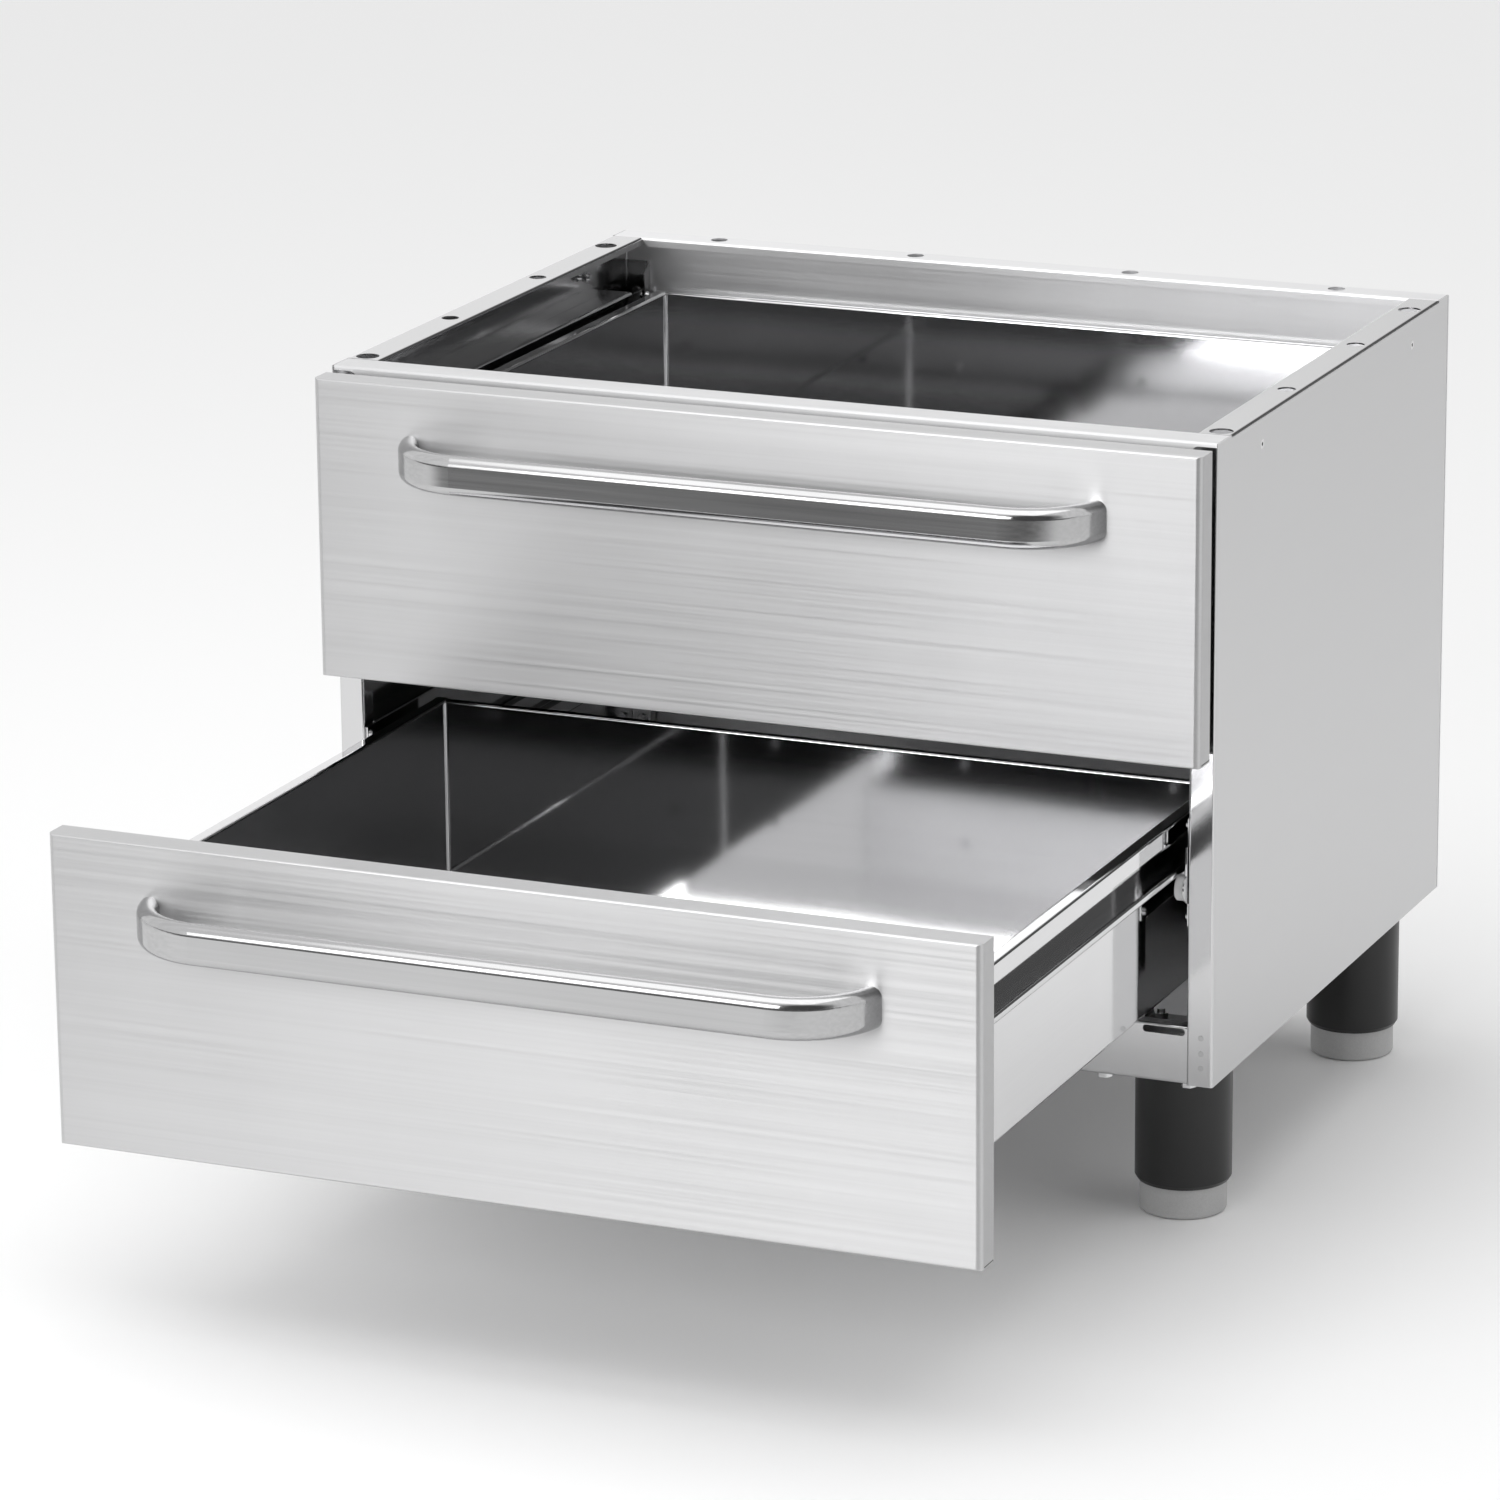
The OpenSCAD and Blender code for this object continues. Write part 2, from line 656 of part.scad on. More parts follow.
// Plate that carries the track, with flanges to the side panel and a tongue for the front roller
module runner_plate(k, s) {
    z0 = plate_top(k) - plate_h;
    roller_z = front_roller_z(k);
    color(bright_steel) placed() on_side(s) difference() {
        union() {
            along_y(post_lip + 1, side_d - plate_flange_back) {
                translate([plate_in, z0]) fold_2d(plate_out - plate_in, plate_h / 2 + seat, sheet, fold_r);
                translate([plate_in, plate_top(k)]) mirror([0, 1])
                    fold_2d(plate_out - plate_in, plate_h / 2 + seat, sheet, fold_r);
            }
            along_x(plate_in, plate_in + sheet) {
                translate([plate_front, z0 + fold_r]) square([plate_back - plate_front, plate_h - 2 * fold_r]);
                translate([tongue_front, roller_z]) square([plate_front - tongue_front + past, tongue_h]);
                translate([front_roller_y, roller_z]) circle(tongue_r);
            }
        }
        for (y = [screw_front_y, screw_back_y], z = plate_screw_zs(k))
            translate([plate_in - past, y, z]) rotate([0, 90, 0])
                cylinder(d = plate_screw_d + 2 * seat, h = sheet + 2 * past);
        translate([plate_in - past, front_roller_y, roller_z]) rotate([0, 90, 0])
            cylinder(d = pin_d, h = sheet + 2 * past);
    }
}

// Tracks that hold the rear rollers, each with a stop at both ends
module runner_tracks(s) {
    color(bright_steel) placed() on_side(s) for (k = [upper, lower]) {
        z0 = track_top(k) - track_h;
        along_y(track_front, track_back) {
            translate([plate_in, z0]) mirror([1, 0]) fold_2d(track_w, track_h / 2 + seat, sheet, fold_r);
            translate([plate_in, track_top(k)]) mirror([1, 0]) mirror([0, 1])
                fold_2d(track_w, track_h / 2 + seat, sheet, fold_r);
        }
        for (y = [track_front, track_back - sheet])
            translate([plate_in - track_w, y, z0 + sheet / 2]) cube([track_w - sheet / 2, sheet, track_h - sheet]);
    }
}

module runner_screws() {
    color(bright_steel) placed() for (s = [left, right]) on_side(s)
        for (k = [upper, lower], y = [screw_front_y, screw_back_y], z = plate_screw_zs(k))
            translate([y == screw_front_y ? plate_in : rear_post_in, y, z]) rotate([0, 90, 0])
                pan_screw(plate_screw_d, 8);
}

// Roller turning on x: its hub recess faces the pin's head
module roller_shape() {
    r = roller_r;
    bore_r = pin_d / 2 + pin_play;
    rotate_extrude() polygon([
        [bore_r, 0], [r - roller_edge, 0], [r, roller_edge], [r, roller_w - roller_edge],
        [r - roller_edge, roller_w], [recess_d / 2, roller_w], [recess_d / 2, roller_w - recess_depth],
        [bore_r, roller_w - recess_depth]]);
}

// Pin's shank and head for a roller that starts at height 0, rooted the given depth below it
module pin_shape(root) {
    translate([0, 0, -root]) cylinder(d = pin_d, h = root + roller_w - recess_depth + run);
    translate([0, 0, roller_w - recess_depth + run]) cylinder(d = pin_head_d, h = pin_head_h);
}

module front_roller(k, s) {
    color(white_nylon) placed() on_side(s)
        translate([roller_x_front + roller_w, front_roller_y, front_roller_z(k)]) rotate([0, -90, 0]) roller_shape();
}

// Pins pressed into the tongues, flush with the plates' outer faces
module front_roller_pins() {
    color(bright_steel) placed() for (s = [left, right]) on_side(s) for (k = [upper, lower])
        translate([roller_x_front + roller_w, front_roller_y, front_roller_z(k)]) rotate([0, -90, 0])
            pin_shape(run + sheet);
}

// Drawers

// Folded front: a shallow pan open at the back, with rounded upright edges
module drawer_front(k) {
    z1 = front_top(k);
    z0 = z1 - front_h;
    color(steel) placed() on_drawer(k) difference() {
        front_block(z0, z1, front_w, front_face_y, -front_gap, front_edge_r, front_top_r);
        front_block(z0 + front_sheet, z1 - front_sheet, front_w - 2 * front_sheet, front_face_y + front_sheet,
                    -front_gap + front_t, front_edge_r - front_sheet, front_top_r - front_sheet);
        for (s = [left, right]) translate([s * handle_foot_x, front_face_y - past, z1 - handle_drop])
            rotate([-90, 0, 0]) cylinder(d = handle_screw_d + 2 * seat, h = front_sheet + 2 * past);
    }
}

// Block with rounded front edges: upright ones of radius r and level ones of radius r_top
module front_block(z0, z1, w, y0, y1, r, r_top) {
    intersection() {
        translate([0, 0, z0]) linear_extrude(z1 - z0) union() {
            translate([-w / 2 + r, y0]) square([w - 2 * r, y1 - y0]);
            translate([-w / 2, y0 + r]) square([w, y1 - y0 - r]);
            for (s = [-1, 1]) translate([s * (w / 2 - r), y0 + r]) circle(r);
        }
        along_x(-w / 2 - past, w / 2 + past) union() {
            translate([y0 + r_top, z0]) square([y1 - y0 - r_top, z1 - z0]);
            translate([y0, z0 + r_top]) square([y1 - y0, z1 - z0 - 2 * r_top]);
            for (z = [z0 + r_top, z1 - r_top]) translate([y0 + r_top, z]) circle(r_top);
        }
    }
}

// Flat plate that closes the back of a drawer front
module front_back_plate(k) {
    w = front_w - 2 * front_sheet - 2 * seat;
    h = front_h - 2 * front_sheet - 2 * seat;
    color(steel) placed() on_drawer(k) difference() {
        translate([-w / 2, -front_gap - front_sheet, front_top(k) - front_sheet - seat - h]) cube([w, front_sheet, h]);
        box_screw_places(k) translate([0, 0, -past]) cylinder(d = box_screw_d + 2 * seat, h = 3 * past + box_sheet);
    }
}

// Puts children at the screws between a box and its front, pointing to the front
module box_screw_places(k) {
    for (s = [left, right], x = [0.3, 0.85], z = [0.25, 0.75])
        translate([s * x * box_in, -front_gap + box_sheet, box_top(k) - z * box_h]) rotate([90, 0, 0]) children();
}

module box_screws(k) {
    color(bright_steel) placed() on_drawer(k) box_screw_places(k) pan_screw(box_screw_d, 8);
}

// Welded box, open at the top, with a rim folded out at its sides and back
module drawer_box(k) {
    z1 = box_top(k);
    z0 = z1 - box_h;
    y0 = -front_gap;
    rim_out = box_in + rim_w;
    rim_back = box_back_in + back_rim;
    color(bright_steel) placed() on_drawer(k) difference() {
        union() {
            difference() {
                along_y(y0, box_back_out) box_outline(box_out, z0, z1 - box_fold_r, box_fold_r + box_sheet);
                box_inside(y0 + box_sheet, box_back_in, z0 + box_sheet, z1 + past);
            }
            for (s = [left, right]) on_side(s) along_y(y0, rim_back)
                rim_2d(box_in, z1, rim_w, rim_lip);
            along_x(-rim_out + box_sheet, rim_out - box_sheet) rim_2d(box_back_in, z1, back_rim, back_lip);
            translate([-box_in, y0, z1 - 2 * box_fold_r]) cube([2 * box_in, box_sheet, 2 * box_fold_r]);
        }
        // The side rims and the back rim don't run into the inside
        box_inside(y0 + box_sheet, box_back_in - box_fold_r, z1 - rim_lip - past, z1 - box_fold_r);
        box_screw_places(k) translate([0, 0, -past]) cylinder(d = box_screw_d + 2 * seat, h = 3 * past + box_sheet);
    }
}

// Section of the box: flat top, rounded lower corners
module box_outline(half, z0, z1, r) {
    translate([-half, z0 + r]) square([2 * half, z1 - z0 - r]);
    translate([-half + r, z0]) square([2 * (half - r), r]);
    for (s = [-1, 1]) translate([s * (half - r), z0 + r]) circle(r);
}

module box_inside(y0, y1, z0, z1) {
    intersection() {
        along_y(y0, y1) box_outline(box_in, z0, z1, box_fold_r);
        translate([-box_in, y0, z0]) linear_extrude(z1 - z0) round_rect(2 * box_in, y1 - y0, box_fold_r);
    }
}

// Rim section: an upright, a rounded top of width w and a lip turned down
module rim_2d(x, z, w, lip) {
    difference() {
        translate([x, z - lip]) square([w, lip]);
        translate([x + box_sheet, z - lip - past]) square([w - 2 * box_sheet, lip + past - box_sheet]);
        translate([x, z]) corner_cut_2d(box_fold_r);
        translate([x + w, z]) mirror([1, 0]) corner_cut_2d(box_fold_r);
    }
}

// What rounding takes off a top left corner at the origin
module corner_cut_2d(r) {
    difference() {
        translate([-past, -r]) square([r + past, r + past]);
        translate([r, -r]) circle(r);
    }
}

// Rails welded along the outside of a box
module drawer_rails(k) {
    z0 = rail_bottom(k);
    color(bright_steel) placed() on_drawer(k) for (s = [left, right]) on_side(s)
        along_y(-front_gap, rail_back) {
            translate([box_out + rail_w, z0]) mirror([1, 0]) fold_2d(rail_w, rail_h / 2 + seat, box_sheet, box_fold_r);
            translate([box_out + rail_w, z0 + rail_h]) mirror([1, 0]) mirror([0, 1])
                fold_2d(rail_w, rail_h / 2 + seat, box_sheet, box_fold_r);
        }
}

module rear_roller(k, s) {
    color(white_nylon) placed() on_drawer(k) on_side(s)
        translate([roller_x_rear, rear_roller_y, rear_roller_z(k)]) rotate([0, 90, 0]) roller_shape();
}

// Pins welded to the box, with a collar that keeps the roller in its track
module rear_pins(k) {
    reach = roller_x_rear - box_out;
    color(bright_steel) placed() on_drawer(k) for (s = [left, right]) on_side(s)
        translate([roller_x_rear, rear_roller_y, rear_roller_z(k)]) rotate([0, 90, 0]) {
            pin_shape(reach);
            translate([0, 0, -reach]) cylinder(d = 2 * pin_d, h = reach - run);
        }
}

// Handle: oval tube bent back to the front at both ends, with a plug welded into each end
module handle(k) {
    grip_y = front_face_y - handle_out + tube_t / 2;
    color(steel) placed() on_drawer(k) translate([0, 0, front_top(k) - handle_drop]) difference() {
        union() {
            translate([0, grip_y, 0]) along_x(-bend_x, bend_x) difference() {
                tube_oval();
                tube_oval(-tube_wall);
            }
            for (s = [left, right]) on_side(s) handle_bend_end();
        }
        translate([-handle_l, front_face_y, -tube_h]) cube([2 * handle_l, handle_bend, 2 * tube_h]);
        for (s = [left, right]) translate([s * handle_foot_x, front_face_y + past, 0]) rotate([90, 0, 0])
            cylinder(d = handle_screw_d + seat, h = plug_hole_depth + past);
    }
}

module handle_bend_end() {
    plug_start = asin(bend_behind / handle_bend) + plug_angle;
    translate([bend_x, front_face_y + bend_behind, 0]) {
        rotate([0, 0, -90]) rotate_extrude(angle = 90) translate([tube_mid_r, 0]) difference() {
            tube_oval();
            tube_oval(-tube_wall);
        }
        rotate([0, 0, -plug_start]) rotate_extrude(angle = plug_start) translate([tube_mid_r, 0]) tube_oval(-seat);
    }
}

module handle_screws(k) {
    color(bright_steel) placed() on_drawer(k) for (s = [left, right])
        translate([s * handle_foot_x, front_face_y + front_sheet, front_top(k) - handle_drop]) rotate([90, 0, 0])
            pan_screw(handle_screw_d, plug_hole_depth);
}

side_panel(left);  // side_panel_left
side_panel(right);  // side_panel_right
top_front_rail();
rear_panel();
rear_panel_rivets();
bottom_pan();
side_panel_screws();
side_panel_nuts();
leg_bracket(left, leg_y_front);  // leg_bracket_front_left
leg_bracket(right, leg_y_front);  // leg_bracket_front_right
leg_bracket(left, leg_y_rear);  // leg_bracket_rear_left
leg_bracket(right, leg_y_rear);  // leg_bracket_rear_right
bracket_bolts();
bracket_nuts();
leg_bolts();
leg_nuts();
leg_sleeve(left, leg_y_front);  // leg_sleeve_front_left
leg_sleeve(right, leg_y_front);  // leg_sleeve_front_right
leg_sleeve(left, leg_y_rear);  // leg_sleeve_rear_left
leg_sleeve(right, leg_y_rear);  // leg_sleeve_rear_right
foot(left, leg_y_front);  // foot_front_left
foot(right, leg_y_front);  // foot_front_right
foot(left, leg_y_rear);  // foot_rear_left
foot(right, leg_y_rear);  // foot_rear_right
runner_plate(upper, left);  // runner_plate_upper_left
runner_plate(upper, right);  // runner_plate_upper_right
runner_plate(lower, left);  // runner_plate_lower_left
runner_plate(lower, right);  // runner_plate_lower_right
runner_tracks(left);  // runner_tracks_left
runner_tracks(right);  // runner_tracks_right
runner_screws();
front_roller_pins();
front_roller(upper, left);  // front_roller_upper_left
front_roller(upper, right);  // front_roller_upper_right
front_roller(lower, left);  // front_roller_lower_left
front_roller(lower, right);  // front_roller_lower_right
drawer_box(upper);  // upper_drawer_box
drawer_front(upper);  // upper_drawer_front
front_back_plate(upper);  // upper_front_back_plate
handle(upper);  // upper_handle
handle_screws(upper);  // upper_handle_screws
box_screws(upper);  // upper_box_screws
drawer_rails(upper);  // upper_drawer_rails
rear_pins(upper);  // upper_rear_pins
rear_roller(upper, left);  // rear_roller_upper_left
rear_roller(upper, right);  // rear_roller_upper_right
drawer_box(lower);  // lower_drawer_box
drawer_front(lower);  // lower_drawer_front
front_back_plate(lower);  // lower_front_back_plate
handle(lower);  // lower_handle
handle_screws(lower);  // lower_handle_screws
box_screws(lower);  // lower_box_screws
drawer_rails(lower);  // lower_drawer_rails
rear_pins(lower);  // lower_rear_pins
rear_roller(lower, left);  // rear_roller_lower_left
rear_roller(lower, right);  // rear_roller_lower_right
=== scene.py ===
import math

import bmesh
import bpy
from mathutils import Matrix, Vector


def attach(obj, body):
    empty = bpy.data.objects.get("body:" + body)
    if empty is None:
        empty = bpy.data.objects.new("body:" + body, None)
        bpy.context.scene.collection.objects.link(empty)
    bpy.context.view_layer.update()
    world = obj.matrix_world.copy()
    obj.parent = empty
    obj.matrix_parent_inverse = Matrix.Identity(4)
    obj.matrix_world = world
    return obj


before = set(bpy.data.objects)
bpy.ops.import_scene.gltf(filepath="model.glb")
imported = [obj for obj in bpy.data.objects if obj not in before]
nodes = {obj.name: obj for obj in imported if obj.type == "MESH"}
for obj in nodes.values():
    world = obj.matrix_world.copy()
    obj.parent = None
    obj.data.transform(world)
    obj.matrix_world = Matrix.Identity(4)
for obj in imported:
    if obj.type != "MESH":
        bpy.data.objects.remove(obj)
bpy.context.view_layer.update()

# The studio: the cabinet is seen from the front right and a little above, through a long lens. Room
# and floor are pale to the eye, but the steel mirrors dark corners and a grey floor in front, which
# draws its folds. Nothing in this section is part of the object.
LENS_AZIMUTH = math.radians(23.42)
LENS_ELEVATION = math.radians(16.022)
LENS_ROLL = math.radians(-0.543)
LENS_DISTANCE = 5.1476
LENS_AIM = Vector((-0.0587, 0.0917, 0.3041))
FOCAL_LENGTH = 163.74
SENSOR_W = 36.0
FARTHEST = 60

turned = (Matrix.Rotation(LENS_AZIMUTH, 4, "Z")
          @ Matrix.Rotation(math.pi / 2 - LENS_ELEVATION, 4, "X")
          @ Matrix.Rotation(LENS_ROLL, 4, "Z"))
stand = LENS_AIM + turned.to_3x3() @ Vector((0, 0, LENS_DISTANCE))
lens = bpy.data.cameras.new("studio_camera")
lens.lens = FOCAL_LENGTH
lens.sensor_width = SENSOR_W
lens.clip_end = FARTHEST
camera = bpy.data.objects.new("studio_camera", lens)
camera.matrix_world = Matrix.Translation(stand) @ turned
bpy.context.scene.collection.objects.link(camera)
bpy.context.scene.camera = camera
bpy.context.scene.view_settings.view_transform = "Standard"

# Sockets of a Mix node that holds plain values
MIX_FACTOR = 0
MIX_VALUE_A = 2
MIX_VALUE_B = 3
MIX_VALUE_OUT = 0


def new_material(name):
    """An empty material: its node tree and its main shader."""
    material = bpy.data.materials.new(name)
    material.use_nodes = True
    tree = material.node_tree
    return material, tree, tree.nodes["Principled BSDF"]


def faded(tree, value, start, end, low, high):
    """Fades smoothly from low to high while the value goes from start to end."""
    node = tree.nodes.new("ShaderNodeMapRange")
    node.interpolation_type = "SMOOTHSTEP"
    node.inputs["From Min"].default_value = start
    node.inputs["From Max"].default_value = end
    node.inputs["To Min"].default_value = low
    node.inputs["To Max"].default_value = high
    tree.links.new(value, node.inputs["Value"])
    return node.outputs["Result"]


def pale_to_the_eye(tree, pale, mirrored, target):
    """Gives the target one pale value where it is seen, and the other value where it is mirrored."""
    ray = tree.nodes.new("ShaderNodeLightPath")
    tone = tree.nodes.new("ShaderNodeMix")
    tone.data_type = "FLOAT"
    tone.inputs[MIX_VALUE_B].default_value = pale
    tree.links.new(ray.outputs["Is Camera Ray"], tone.inputs[MIX_FACTOR])
    tree.links.new(mirrored, tone.inputs[MIX_VALUE_A])
    tree.links.new(tone.outputs[MIX_VALUE_OUT], target)


def soft_box(name, place, aim, width, height, power):
    """A soft box that lights the steel and is mirrored in it, but isn't seen by the camera."""
    panel = bpy.data.lights.new(name, "AREA")
    panel.shape = "RECTANGLE"
    panel.size = width
    panel.size_y = height
    panel.energy = power
    box = bpy.data.objects.new(name, panel)
    towards = (Vector(aim) - Vector(place)).to_track_quat("-Z", "Y")
    box.matrix_world = Matrix.Translation(place) @ towards.to_matrix().to_4x4()
    box.visible_camera = False
    bpy.context.scene.collection.objects.link(box)


FLOOR_REACH = 20
FLOOR_ROUGHNESS = 0.8
FLOOR_SHEEN = 0.05
FLOOR_PALE = 0.94
FLOOR_GREY = 0.12
PALE_FROM = -1.3
GREY_FROM = -2.1

floor_mesh = bpy.data.meshes.new("studio_floor")
floor_sheet = bmesh.new()
bmesh.ops.create_grid(floor_sheet, x_segments=1, y_segments=1, size=FLOOR_REACH)
floor_sheet.to_mesh(floor_mesh)
floor_sheet.free()
floor = bpy.data.objects.new("studio_floor", floor_mesh)
bpy.context.scene.collection.objects.link(floor)
floor_paint, floor_tree, floor_shader = new_material("studio_floor")
floor_mesh.materials.append(floor_paint)
floor_shader.inputs["Roughness"].default_value = FLOOR_ROUGHNESS
floor_shader.inputs["Specular IOR Level"].default_value = FLOOR_SHEEN
floor_place = floor_tree.nodes.new("ShaderNodeTexCoord")
floor_split = floor_tree.nodes.new("ShaderNodeSeparateXYZ")
floor_tree.links.new(floor_place.outputs["Object"], floor_split.inputs[0])
floor_tone = faded(floor_tree, floor_split.outputs["Y"], GREY_FROM, PALE_FROM, FLOOR_GREY, FLOOR_PALE)
pale_to_the_eye(floor_tree, FLOOR_PALE, floor_tone, floor_shader.inputs["Base Color"])

WALL_GLOW = 1.02
CORNER_GLOW = 0.1
# Way to the two dark corners on the right, with front and rear folded onto each other
CORNER_WAY = Vector((0.39, 0.885, 0.25))
DARK_FROM = 0.7
DARK_TO = 0.93

room = bpy.data.worlds.new("studio")
bpy.context.scene.world = room
room.use_nodes = True
room_tree = room.node_tree
room_glow = room_tree.nodes["Background"]
room_glow.inputs["Color"].default_value = (1, 1, 1, 1)
way = room_tree.nodes.new("ShaderNodeTexCoord")
way_split = room_tree.nodes.new("ShaderNodeSeparateXYZ")
front_or_rear = room_tree.nodes.new("ShaderNodeMath")
front_or_rear.operation = "ABSOLUTE"
folded_way = room_tree.nodes.new("ShaderNodeCombineXYZ")
near_corner = room_tree.nodes.new("ShaderNodeVectorMath")
near_corner.operation = "DOT_PRODUCT"
near_corner.inputs[1].default_value = CORNER_WAY
room_tree.links.new(way.outputs["Generated"], way_split.inputs[0])
room_tree.links.new(way_split.outputs["X"], folded_way.inputs["X"])
room_tree.links.new(way_split.outputs["Y"], front_or_rear.inputs[0])
room_tree.links.new(front_or_rear.outputs[0], folded_way.inputs["Y"])
room_tree.links.new(way_split.outputs["Z"], folded_way.inputs["Z"])
room_tree.links.new(folded_way.outputs[0], near_corner.inputs[0])
room_tone = faded(room_tree, near_corner.outputs["Value"], DARK_FROM, DARK_TO, WALL_GLOW, CORNER_GLOW)
pale_to_the_eye(room_tree, WALL_GLOW, room_tone, room_glow.inputs["Strength"])

soft_box("top_light", place=(0, -0.6, 3.2), aim=(0, 0, 0.3), width=3.0, height=3.0, power=30)
soft_box("front_light", place=(-0.85, -3.4, 1.4), aim=(0, 0, 0.3), width=1.6, height=1.4, power=35)

# Body: side panels, pan, front rail and back panel, all folded from stainless sheet with a satin
# finish. Panels and rail are spot-welded at the corners, the pan closes the bottom, and the back
# panel is riveted to the rear posts. Inside, the panels are left smoother than on their outer faces.
MM = 0.001
SHEET = 1.2 * MM

# Sockets of a Mix node that holds colours
MIX_COLOUR_A = 6
MIX_COLOUR_B = 7
MIX_COLOUR_OUT = 2

# The part of a noise texture's range that most of its values lie in
NOISE_RANGE = (0.3, 0.7)
PATCH_SCALE = (4, 4, 4)
PATCH_SEED = 5
PATCH_BLUR = 0.07
WAVE_SCALE = (3.5, 3.5, 3.5)
WAVE_SEED = 9
COOL = 1.008
UPRIGHT = (0, 0, 1)


def box_of(name):
    """The least and greatest corner of a CAD node."""
    node = nodes[name]
    points = [node.matrix_world @ vertex.co for vertex in node.data.vertices]
    return [min(p[i] for p in points) for i in range(3)], [max(p[i] for p in points) for i in range(3)]


def stretched_noise(tree, scale, detail, seed):
    """Noise on object coordinates, stretched by scale along each axis."""
    place = tree.nodes.new("ShaderNodeTexCoord")
    mapping = tree.nodes.new("ShaderNodeMapping")
    mapping.inputs["Scale"].default_value = scale
    mapping.inputs["Location"].default_value = (seed, seed, seed)
    noise = tree.nodes.new("ShaderNodeTexNoise")
    noise.inputs["Scale"].default_value = 1
    noise.inputs["Detail"].default_value = detail
    tree.links.new(place.outputs["Object"], mapping.inputs["Vector"])
    tree.links.new(mapping.outputs["Vector"], noise.inputs["Vector"])
    return noise.outputs["Fac"]


def spread(tree, value, low, high, clip=NOISE_RANGE):
    """Maps a value within the clip onto the range from low to high."""
    node = tree.nodes.new("ShaderNodeMapRange")
    node.inputs["From Min"].default_value = clip[0]
    node.inputs["From Max"].default_value = clip[1]
    node.inputs["To Min"].default_value = low
    node.inputs["To Max"].default_value = high
    tree.links.new(value, node.inputs["Value"])
    return node.outputs["Result"]


def around(tree, noise, middle, share):
    """Maps a noise onto a range around the middle, that share of it up and down."""
    return spread(tree, noise, middle * (1 - share), middle * (1 + share))


def product(tree, a, b):
    """Two values multiplied."""
    node = tree.nodes.new("ShaderNodeMath")
    node.operation = "MULTIPLY"
    tree.links.new(a, node.inputs[0])
    tree.links.new(b, node.inputs[1])
    return node.outputs[0]


def tinted(tree, colour, tone, target):
    """Gives the target a colour multiplied by a tone."""
    mix = tree.nodes.new("ShaderNodeMix")
    mix.data_type = "RGBA"
    mix.blend_type = "MULTIPLY"
    mix.inputs[MIX_FACTOR].default_value = 1
    mix.inputs[MIX_COLOUR_A].default_value = colour
    tree.links.new(tone, mix.inputs[MIX_COLOUR_B])
    tree.links.new(mix.outputs[MIX_COLOUR_OUT], target)


def raised(tree, height, depth, target):
    """Gives the target normals raised by a height, and returns the node that raises them."""
    bump = tree.nodes.new("ShaderNodeBump")
    bump.inputs["Distance"].default_value = depth
    tree.links.new(height, bump.inputs["Height"])
    tree.links.new(bump.outputs["Normal"], target)
    return bump


def outer_skin(tree):
    """1 on the outer faces of the two side panels, 0 further in."""
    place = tree.nodes.new("ShaderNodeTexCoord")
    split = tree.nodes.new("ShaderNodeSeparateXYZ")
    size = tree.nodes.new("ShaderNodeMath")
    size.operation = "ABSOLUTE"
    beyond = tree.nodes.new("ShaderNodeMath")
    beyond.operation = "GREATER_THAN"
    beyond.inputs[1].default_value = outer_face - SHEET / 2
    tree.links.new(place.outputs["Object"], split.inputs[0])
    tree.links.new(split.outputs["X"], size.inputs[0])
    tree.links.new(size.outputs[0], beyond.inputs[0])
    return beyond.outputs[0]


def steel(name, grey, rough, grain, grain_depth, streak=0.02, cloud=0.02, uneven=0.07, wave_depth=0.0,
          inner_rough=None, anisotropy=0.0, along=UPRIGHT, seed=0.0):
    """
    Steel. Grain is the noise scale of the brushing along x, y and z. Streak and cloud are the changes
    of tone by the grain and by broad patches, and uneven the change of roughness by the grain.
    """
    material, tree, shader = new_material(name)
    shader.inputs["Metallic"].default_value = 1
    lines = stretched_noise(tree, grain, detail=3, seed=seed)
    patches = stretched_noise(tree, PATCH_SCALE, detail=3, seed=seed + PATCH_SEED)
    tone = product(tree, around(tree, lines, 1, streak), around(tree, patches, 1, cloud))
    tinted(tree, (grey, grey, grey * COOL, 1), tone, shader.inputs["Base Color"])
    blur = product(tree, around(tree, lines, rough, uneven), around(tree, patches, 1, PATCH_BLUR))
    if inner_rough:
        blur = product(tree, blur, spread(tree, outer_skin(tree), inner_rough / rough, 1, clip=(0, 1)))
    tree.links.new(blur, shader.inputs["Roughness"])
    grain_bump = raised(tree, lines, grain_depth, shader.inputs["Normal"])
    if wave_depth:
        waves = stretched_noise(tree, WAVE_SCALE, detail=1, seed=seed + WAVE_SEED)
        raised(tree, waves, wave_depth, grain_bump.inputs["Normal"])
    if anisotropy:
        shader.inputs["Anisotropic"].default_value = anisotropy
        direction = tree.nodes.new("ShaderNodeCombineXYZ")
        for axis, value in zip("XYZ", along):
            direction.inputs[axis].default_value = value
        tree.links.new(direction.outputs[0], shader.inputs["Tangent"])
    return material


def finish(material, *names):
    """Gives CAD nodes a material in place of their plain one."""
    for name in names:
        mesh = nodes[name].data
        mesh.materials.clear()
        mesh.materials.append(material)


outer_face = box_of("side_panel_right")[1][0]
satin_sheet = steel("satin_sheet", grey=0.6, rough=0.32, grain=(400, 3, 400), grain_depth=4e-7, streak=0.01,
                    wave_depth=2e-4, inner_rough=0.14)
back_sheet = steel("back_sheet", grey=0.86, rough=0.38, grain=(2, 400, 400), grain_depth=1e-7, streak=0.006,
                   cloud=0.05, wave_depth=2e-4, seed=2.0)
rail_sheet = steel("rail_sheet", grey=0.66, rough=0.5, grain=(2, 400, 400), grain_depth=5e-7, anisotropy=0.7)
finish(satin_sheet, "side_panel_left", "side_panel_right", "bottom_pan")
finish(back_sheet, "rear_panel")
finish(rail_sheet, "top_front_rail")

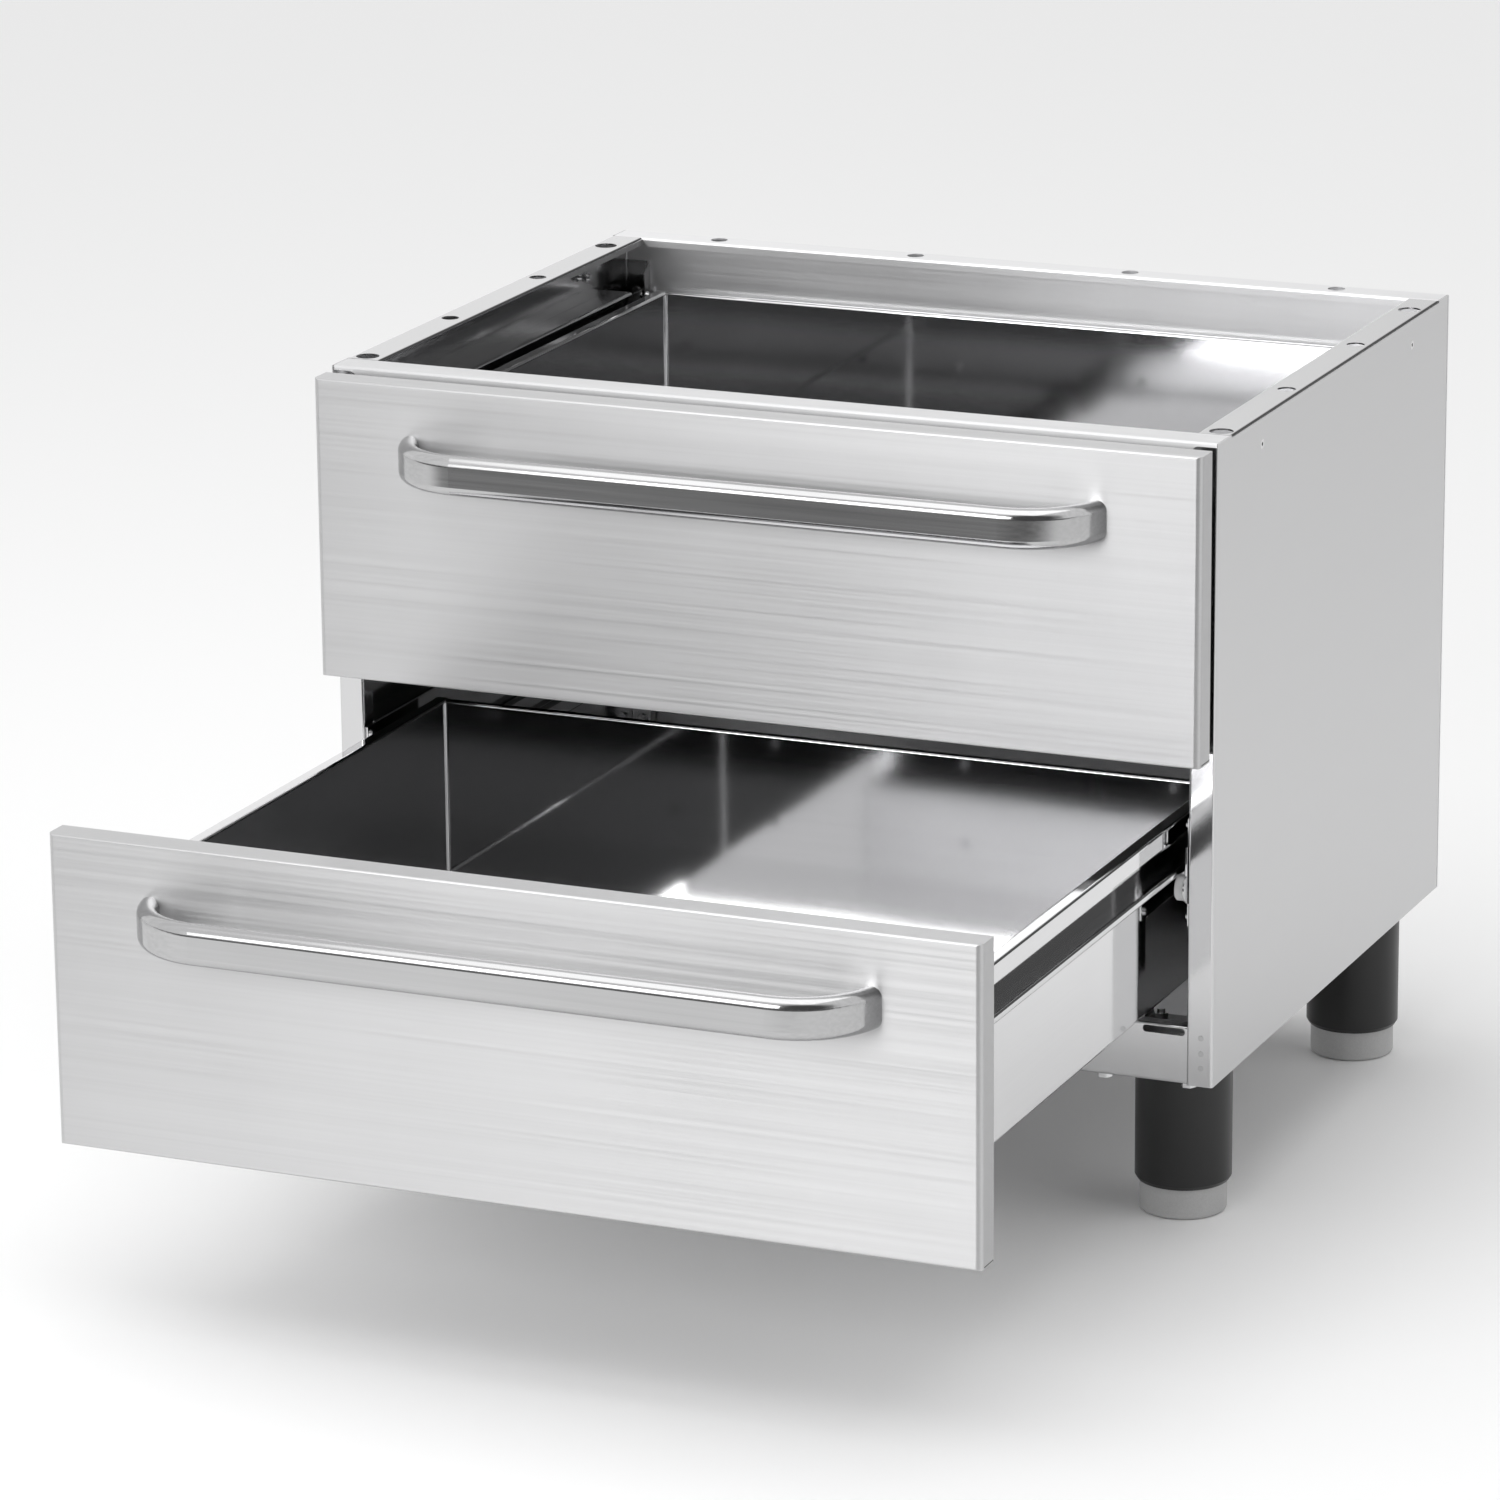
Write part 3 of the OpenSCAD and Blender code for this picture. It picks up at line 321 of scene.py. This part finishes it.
# Weld spots: the pan's front wall is spot-welded behind the two front posts, three times to a side.
# Each weld leaves a faint round mark on the face of the post.
MARK_DEPTH = 0.04 * MM
SPOT_R = 2.4 * MM
SPOT_TIP_R = 0.8 * SPOT_R
SPOT_SEGMENTS = 32
SPOT_INSET = 9 * MM
SPOT_HEIGHTS = (134 * MM, 145 * MM, 157 * MM)


def place_piece(name, shape, material, body):
    """Turns a bmesh into an object that rides on a body."""
    mesh = bpy.data.meshes.new(name)
    shape.to_mesh(mesh)
    shape.free()
    mesh.materials.append(material)
    piece = bpy.data.objects.new(name, mesh)
    bpy.context.scene.collection.objects.link(piece)
    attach(piece, body)


weld_spot = steel("weld_spot", grey=0.5, rough=0.24, grain=(400, 400, 400), grain_depth=1e-6, streak=0.04)
post_face = box_of("side_panel_right")[0][1]
spots = bmesh.new()
for side in (-1, 1):
    for z in SPOT_HEIGHTS:
        middle = (side * (outer_face - SPOT_INSET), post_face, z)
        place = Matrix.Translation(middle) @ Matrix.Rotation(math.pi / 2, 4, "X")
        bmesh.ops.create_cone(spots, cap_ends=True, segments=SPOT_SEGMENTS, radius1=SPOT_R,
                              radius2=SPOT_TIP_R, depth=2 * MARK_DEPTH, matrix=place)
place_piece("post_weld_spots", spots, weld_spot, "cabinet")

# Fixings: screws, nuts, bolts, rivets and pins of bright plated steel. The screws of the side panels
# are sunk flush, the rivets join the back panel to the rear posts, and the pins carry the rollers.
bright_plate = steel("bright_plate", grey=0.7, rough=0.22, grain=(300, 300, 300), grain_depth=2e-6)
finish(bright_plate, "rear_panel_rivets", "side_panel_screws", "side_panel_nuts", "bracket_bolts",
       "bracket_nuts", "leg_bolts", "leg_nuts", "runner_screws", "front_roller_pins")

# Legs: a zinc-plated bracket is bolted to the floor of the pan at each corner, and a black moulded
# sleeve is bolted under it. A grey plastic foot screws up and down in the sleeve to level the cabinet.
FINE_SCALE = (900, 900, 900)
BROAD_SCALE = (25, 25, 25)
BROAD_SEED = 3
BROAD_TONE = 0.08
BROAD_BLUR = 0.1


def plastic(name, grey, rough, speckle, bump_depth):
    """Moulded plastic with a fine texture and slight changes of tone."""
    material, tree, shader = new_material(name)
    fine = stretched_noise(tree, FINE_SCALE, detail=2, seed=0)
    broad = stretched_noise(tree, BROAD_SCALE, detail=3, seed=BROAD_SEED)
    tone = product(tree, around(tree, fine, 1, speckle), around(tree, broad, 1, BROAD_TONE))
    tinted(tree, (grey, grey, grey, 1), tone, shader.inputs["Base Color"])
    tree.links.new(around(tree, broad, rough, BROAD_BLUR), shader.inputs["Roughness"])
    raised(tree, fine, bump_depth, shader.inputs["Normal"])
    return material


ends = ("front", "rear")
sides = ("left", "right")
corners = ["%s_%s" % (end, side) for end in ends for side in sides]
zinc = steel("zinc", grey=0.6, rough=0.4, grain=(60, 60, 60), grain_depth=2e-6, streak=0.08, cloud=0.08)
black_sleeve = plastic("black_sleeve", grey=0.009, rough=0.36, speckle=0.1, bump_depth=2e-5)
grey_foot = plastic("grey_foot", grey=0.48, rough=0.45, speckle=0.05, bump_depth=1e-5)
for corner in corners:
    finish(zinc, "leg_bracket_" + corner)
    finish(black_sleeve, "leg_sleeve_" + corner)
    finish(grey_foot, "foot_" + corner)

# Runners: plates and tracks, folded from bright sheet and screwed to the posts. The drawers run on
# white nylon rollers, in front on pins in the plates, and at the back on pins of the drawer boxes.
levels = ("upper", "lower")
mill_sheet = steel("mill_sheet", grey=0.7, rough=0.12, grain=(400, 3, 400), grain_depth=2e-7, streak=0.01,
                   wave_depth=4e-4, seed=1.0)
white_roller = plastic("white_roller", grey=0.78, rough=0.35, speckle=0.02, bump_depth=5e-6)
for side in sides:
    finish(mill_sheet, "runner_tracks_" + side)
    for level in levels:
        finish(mill_sheet, "runner_plate_%s_%s" % (level, side))
        for end in ends:
            finish(white_roller, "%s_roller_%s_%s" % (end, level, side))

# Drawer boxes: bright cold-rolled sheet, folded, welded in the corners and left as it came from the
# mill. Two rails are welded along the outside of a box, and screws hold it to its front.
box_sheet = steel("box_sheet", grey=0.75, rough=0.055, grain=(4, 4, 300), grain_depth=1e-7, streak=0.01,
                  wave_depth=5e-4, seed=3.0)
for level in levels:
    finish(box_sheet, level + "_drawer_box")
    finish(mill_sheet, level + "_drawer_rails")
    finish(bright_plate, level + "_box_screws", level + "_rear_pins")

# Drawer fronts: satin sheet, brushed along its length and folded round its edges, with a plate that
# closes the back. Low on each side, a thin near-black strip paints the shade in the slit where the
# side and bottom folds meet.
EDGE_BEND = 4.5 * MM
SEAM_BACK = 1 * MM
SEAM_UP = 1.2 * MM
SEAM_H = 0.7 * MM


def slab(name, low, high, material, body):
    """A thin box from low to high, riding on a body."""
    shape = bmesh.new()
    bmesh.ops.create_cube(shape, size=1)
    middle = [(a + b) / 2 for a, b in zip(low, high)]
    size = [b - a for a, b in zip(low, high)]
    bmesh.ops.scale(shape, vec=size, verts=shape.verts)
    bmesh.ops.translate(shape, vec=middle, verts=shape.verts)
    place_piece(name, shape, material, body)


front_sheet = steel("front_sheet", grey=0.55, rough=0.36, grain=(2, 430, 430), grain_depth=1e-6, streak=0.03,
                    uneven=0.15, anisotropy=0.85)
# Painted shade: a near-black finish that stands in for the shade inside each fold slit.
seam_shadow = plastic("seam_shadow", grey=0.01, rough=0.6, speckle=0.1, bump_depth=1e-6)
for level in levels:
    finish(front_sheet, level + "_drawer_front")
    finish(mill_sheet, level + "_front_back_plate")
    least, greatest = box_of(level + "_drawer_front")
    for side, x in zip(sides, (least[0], greatest[0])):
        # Each strip is a thin sheet of painted shade laid on the side face; no slit is cut in the front.
        slab("%s_front_seam_%s" % (level, side),
             low=(x - MARK_DEPTH, least[1] + EDGE_BEND, least[2] + SEAM_UP),
             high=(x + MARK_DEPTH, greatest[1] - SEAM_BACK, least[2] + SEAM_UP + SEAM_H),
             material=seam_shadow, body=level + "_drawer")

# Handles: oval tube, brushed along its length and bent back to the front at both ends. A screw from
# inside the front holds it at each end.
tube = steel("tube", grey=0.475, rough=0.13, grain=(3, 420, 420), grain_depth=5e-7, streak=0.06, cloud=0.06,
             uneven=0.15, wave_depth=1e-4)
for level in levels:
    finish(tube, level + "_handle")
    finish(bright_plate, level + "_handle_screws")
